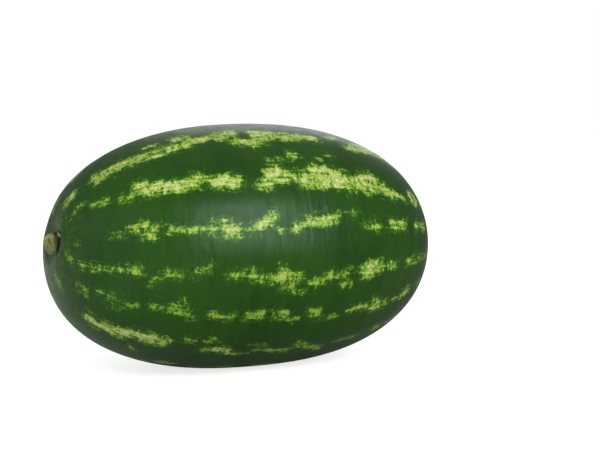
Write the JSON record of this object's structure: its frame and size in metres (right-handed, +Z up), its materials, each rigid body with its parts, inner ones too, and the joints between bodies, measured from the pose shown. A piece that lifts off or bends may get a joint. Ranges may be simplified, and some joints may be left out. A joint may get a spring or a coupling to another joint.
{
  "type": "watermelon",
  "caption": "Whole oblong watermelon with a dark green striped skin and a dry stem stub, lying on its side on a small flat spot.",
  "frame": {"origin": "on the surface that the fruit rests on, under the middle of its length and width", "axes": "+X from the stem end to the blossom end, +Y to the back, +Z up"},
  "size_m": [0.3114, 0.1904, 0.1893],
  "materials": {
    "skin": "satin",
    "stem": "matte"
  },
  "bodies": {
    "root": {"fruit": "skin", "stem_stub": "stem"}
  },
  "joints": []
}
